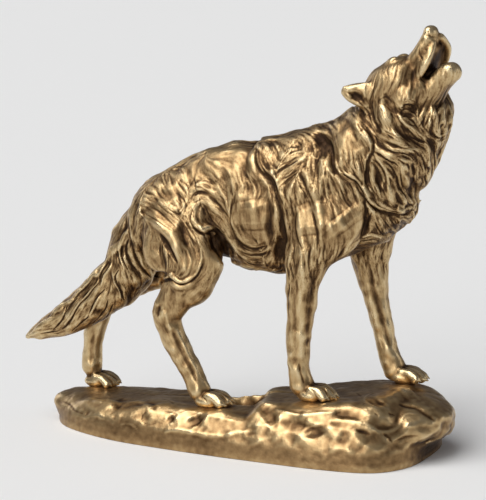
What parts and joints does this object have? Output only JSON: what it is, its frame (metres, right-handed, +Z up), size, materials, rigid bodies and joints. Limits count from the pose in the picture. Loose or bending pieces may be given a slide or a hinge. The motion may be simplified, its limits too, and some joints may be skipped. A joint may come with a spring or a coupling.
{
  "type": "wolf figurine",
  "caption": "Cast metal-look figurine of a wolf that stands on a rock with its head raised in a howl.",
  "frame": {"origin": "on the flat underside of the rock, under the middle of the wolf's body", "axes": "+X the way the wolf faces, +Y its left side, +Z up"},
  "size_m": [0.2215, 0.0788, 0.2002],
  "materials": {
    "bronze": "antique bronze look: rubbed pale gold on the high spots, dark brown in the hollows, soft gloss"
  },
  "bodies": {
    "root": {"wolf_figurine": "bronze"}
  },
  "joints": []
}
